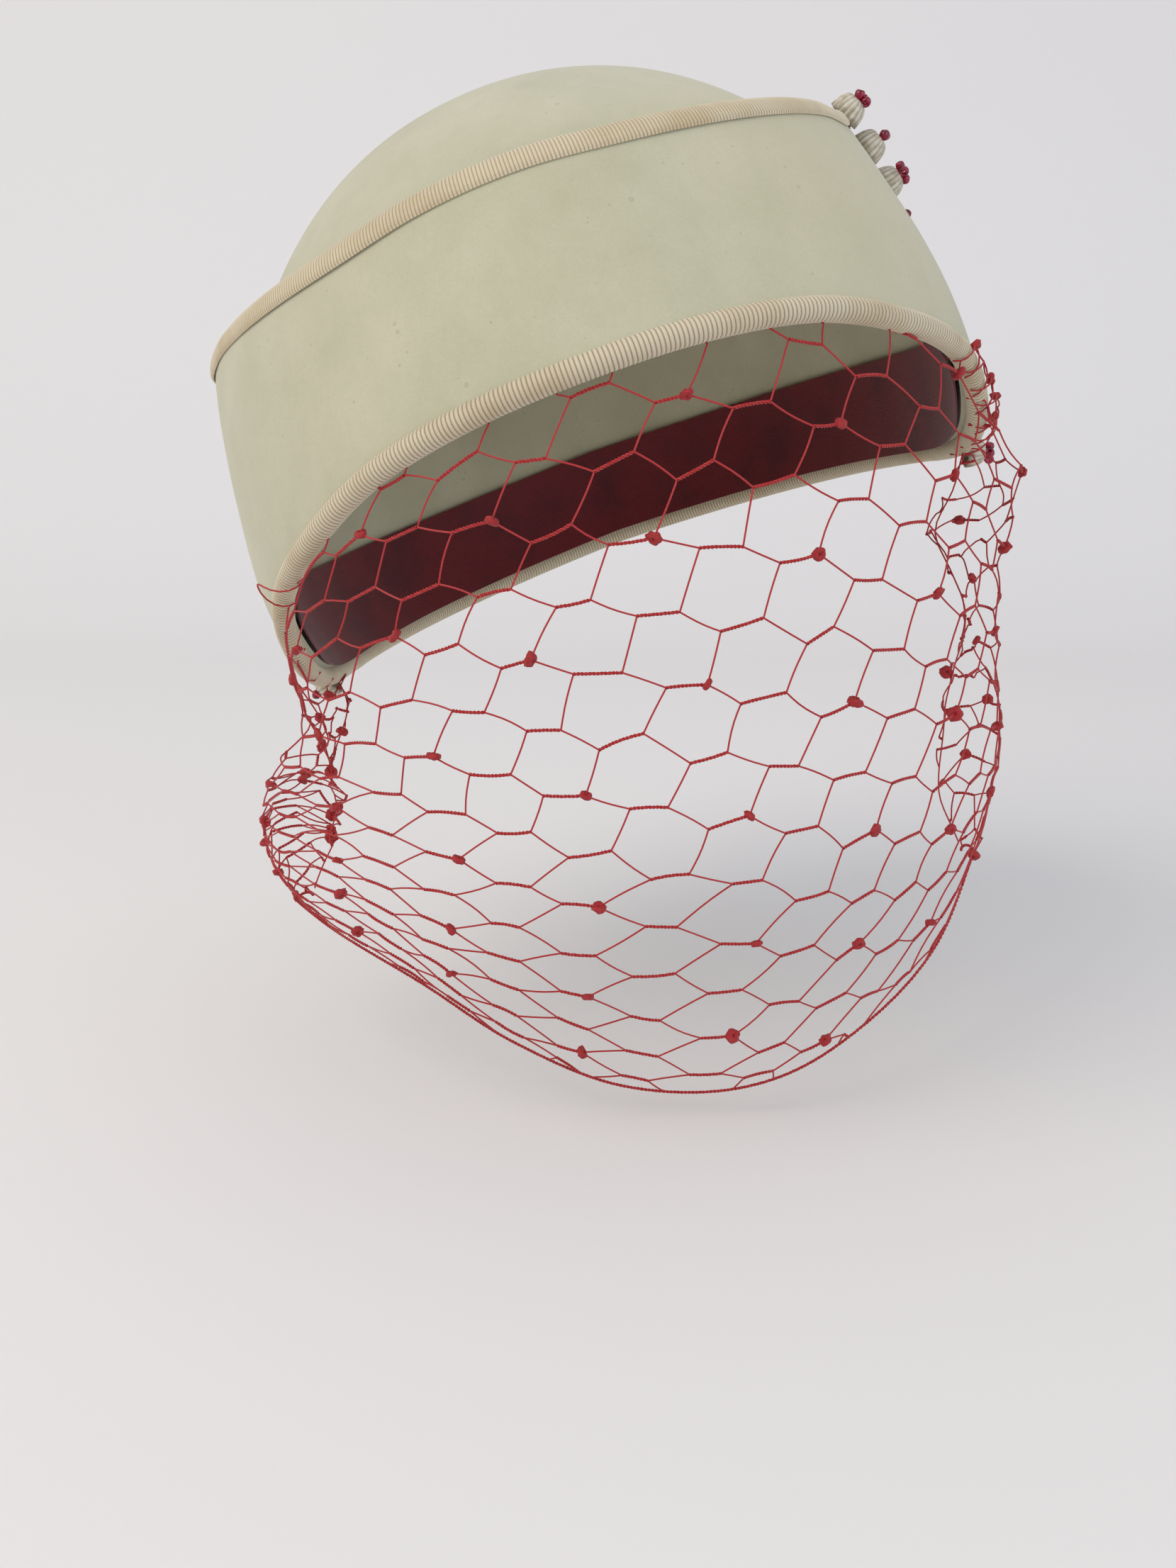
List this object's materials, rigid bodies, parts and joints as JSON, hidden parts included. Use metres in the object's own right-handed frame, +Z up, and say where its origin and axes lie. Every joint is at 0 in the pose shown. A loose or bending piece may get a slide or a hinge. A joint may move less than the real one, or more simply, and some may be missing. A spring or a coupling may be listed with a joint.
{
  "type": "felt cuff hat with face veil",
  "caption": "Rounded felt hat with a deep upright cuff, corded lower edge, rows of beaded cups down the sides and an open net veil over the face.",
  "frame": {"origin": "inside of the crown where the top of the head meets it", "axes": "+Z up as worn, -Y towards the front of the face, +X towards the wearer's left; the hat leans towards -X"},
  "size_m": [0.2005, 0.2035, 0.2292],
  "materials": {
    "felt": "matte wool felt, pale mint",
    "grosgrain": "ribbed cream grosgrain ribbon",
    "ribbon": "dark red ribbed ribbon",
    "net": "twisted red rayon net with small chenille dots",
    "cup_satin": "off-white ribbed satin straw with a soft sheen",
    "bead_glass": "clear ruby glass"
  },
  "bodies": {
    "root": {"crown": "felt", "cuff_band": "felt", "top_binding": "grosgrain", "edge_roll": "grosgrain", "head_ribbon": "ribbon", "veil_net": "net", "cup_left_01": "cup_satin", "beads_left_01": "bead_glass", "cup_left_02": "cup_satin", "beads_left_02": "bead_glass", "cup_left_03": "cup_satin", "beads_left_03": "bead_glass", "cup_left_04": "cup_satin", "beads_left_04": "bead_glass", "cup_left_05": "cup_satin", "beads_left_05": "bead_glass", "cup_left_06": "cup_satin", "beads_left_06": "bead_glass", "cup_left_07": "cup_satin", "beads_left_07": "bead_glass", "cup_left_08": "cup_satin", "beads_left_08": "bead_glass", "cup_left_09": "cup_satin", "beads_left_09": "bead_glass", "cup_left_10": "cup_satin", "beads_left_10": "bead_glass", "cup_left_11": "cup_satin", "beads_left_11": "bead_glass", "cup_right_01": "cup_satin", "beads_right_01": "bead_glass", "cup_right_02": "cup_satin", "beads_right_02": "bead_glass", "cup_right_03": "cup_satin", "beads_right_03": "bead_glass", "cup_right_04": "cup_satin", "beads_right_04": "bead_glass", "cup_right_05": "cup_satin", "beads_right_05": "bead_glass", "cup_right_06": "cup_satin", "beads_right_06": "bead_glass", "cup_right_07": "cup_satin", "beads_right_07": "bead_glass", "cup_right_08": "cup_satin", "beads_right_08": "bead_glass", "cup_right_09": "cup_satin", "beads_right_09": "bead_glass", "cup_right_10": "cup_satin", "beads_right_10": "bead_glass", "cup_right_11": "cup_satin", "beads_right_11": "bead_glass"}
  },
  "joints": []
}
